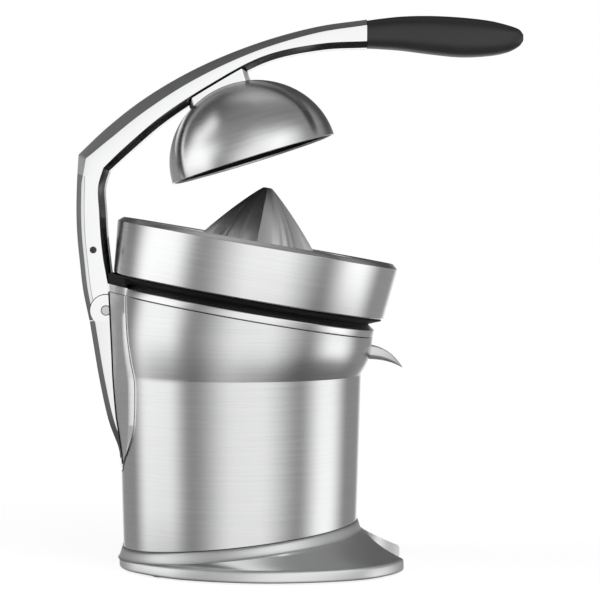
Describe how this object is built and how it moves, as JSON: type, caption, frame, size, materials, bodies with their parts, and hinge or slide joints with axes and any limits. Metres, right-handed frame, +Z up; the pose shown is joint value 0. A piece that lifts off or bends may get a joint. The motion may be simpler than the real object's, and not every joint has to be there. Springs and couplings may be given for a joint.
{
  "type": "citrus press juicer",
  "caption": "Motor-driven citrus press with a tilted juice bowl, strainer and cone, a front spout, and a long lever arm that lowers a press dome.",
  "frame": {"origin": "on the table under the middle of the bounding box", "axes": "+Z up, +X from the rear hinge towards the spout and the grip, +Y to the far side of the arm plane"},
  "size_m": [0.3552, 0.2262, 0.4396],
  "materials": {
    "brushed_shell": "brushed round the body",
    "cast_metal": "satin cast",
    "polished_metal": "polished",
    "steel": "plain turned or pressed steel",
    "dark_metal": "dark oxide",
    "brass": "sintered",
    "black_plastic": "satin black",
    "grip_plastic": "soft-touch matte black",
    "gear_plastic": "natural acetal",
    "rubber": "matte"
  },
  "bodies": {
    "housing": {"base_casting": "cast_metal", "base_cover": "black_plastic", "rubber_foot_1": "rubber", "rubber_foot_2": "rubber", "rubber_foot_3": "rubber", "rubber_foot_4": "rubber", "cord_gland": "rubber", "spine_housing": "brushed_shell", "link_lower_pin": "steel", "inner_link_pin": "steel", "barrel_shell": "brushed_shell", "top_trim": "brushed_shell", "deck": "black_plastic", "spindle_bush_upper": "brass", "gearbox_case": "cast_metal", "gearbox_lid": "cast_metal", "cluster_pin": "steel", "motor_can": "steel", "motor_stator": "dark_metal", "motor_end_cap": "black_plastic", "juice_duct": "black_plastic", "spout_pin": "steel", "juice_bowl": "brushed_shell", "strainer": "steel"},
    "spindle": {"drive_spindle": "steel", "output_gear": "gear_plastic", "juicing_cone": "polished_metal"},
    "cluster": {"cluster_gear": "gear_plastic"},
    "rotor": {"motor_rotor": "steel", "motor_pinion": "steel"},
    "spout": {"spout": "polished_metal"},
    "rear_link": {"rear_link": "cast_metal"},
    "inner_link": {"inner_link": "steel"},
    "arm": {"arm_casting": "polished_metal", "arm_rear_cover": "cast_metal", "link_upper_pin": "steel", "arm_cross_pin": "dark_metal", "grip": "grip_plastic", "press_dome": "brushed_shell", "dome_liner": "black_plastic", "dome_bracket": "polished_metal", "dome_screw": "steel"}
  },
  "joints": [
    {"name": "rear_link_swing", "type": "hinge", "parent": "housing", "child": "rear_link", "pos_m": [-0.137, 0, 0.085], "axis": [0, 1, 0], "range_deg": [-17.5, 0]},
    {"name": "arm_press", "type": "hinge", "parent": "rear_link", "child": "arm", "pos_m": [-0.154, 0, 0.2056], "axis": [0, 1, 0], "range_deg": [0, 43]},
    {"name": "inner_link_swing", "type": "hinge", "parent": "housing", "child": "inner_link", "pos_m": [-0.141, 0, 0.206], "axis": [0, 1, 0], "range_deg": [-17.8, 0]},
    {"name": "spindle_spin", "type": "hinge", "parent": "housing", "child": "spindle", "pos_m": [-0.0437, 0, 0.2018], "axis": [0.1736, 0, 0.9848], "continuous": true},
    {"name": "cluster_spin", "type": "hinge", "parent": "housing", "child": "cluster", "pos_m": [-0.00677, 0, 0.19529], "axis": [0.1736, 0, 0.9848], "continuous": true},
    {"name": "rotor_spin", "type": "hinge", "parent": "housing", "child": "rotor", "pos_m": [-0.0437, 0, 0.2018], "axis": [0.1736, 0, 0.9848], "continuous": true},
    {"name": "spout_tilt", "type": "hinge", "parent": "housing", "child": "spout", "pos_m": [0.041, 0, 0.172], "axis": [0, -1, 0], "range_deg": [0, 18]}
  ],
  "couplings": [
    {"joint": "rear_link_swing", "follows": "arm_press", "ratio": -0.4},
    {"joint": "inner_link_swing", "follows": "arm_press", "ratio": -0.408},
    {"joint": "cluster_spin", "follows": "spindle_spin", "ratio": -3},
    {"joint": "rotor_spin", "follows": "spindle_spin", "ratio": 6}
  ]
}
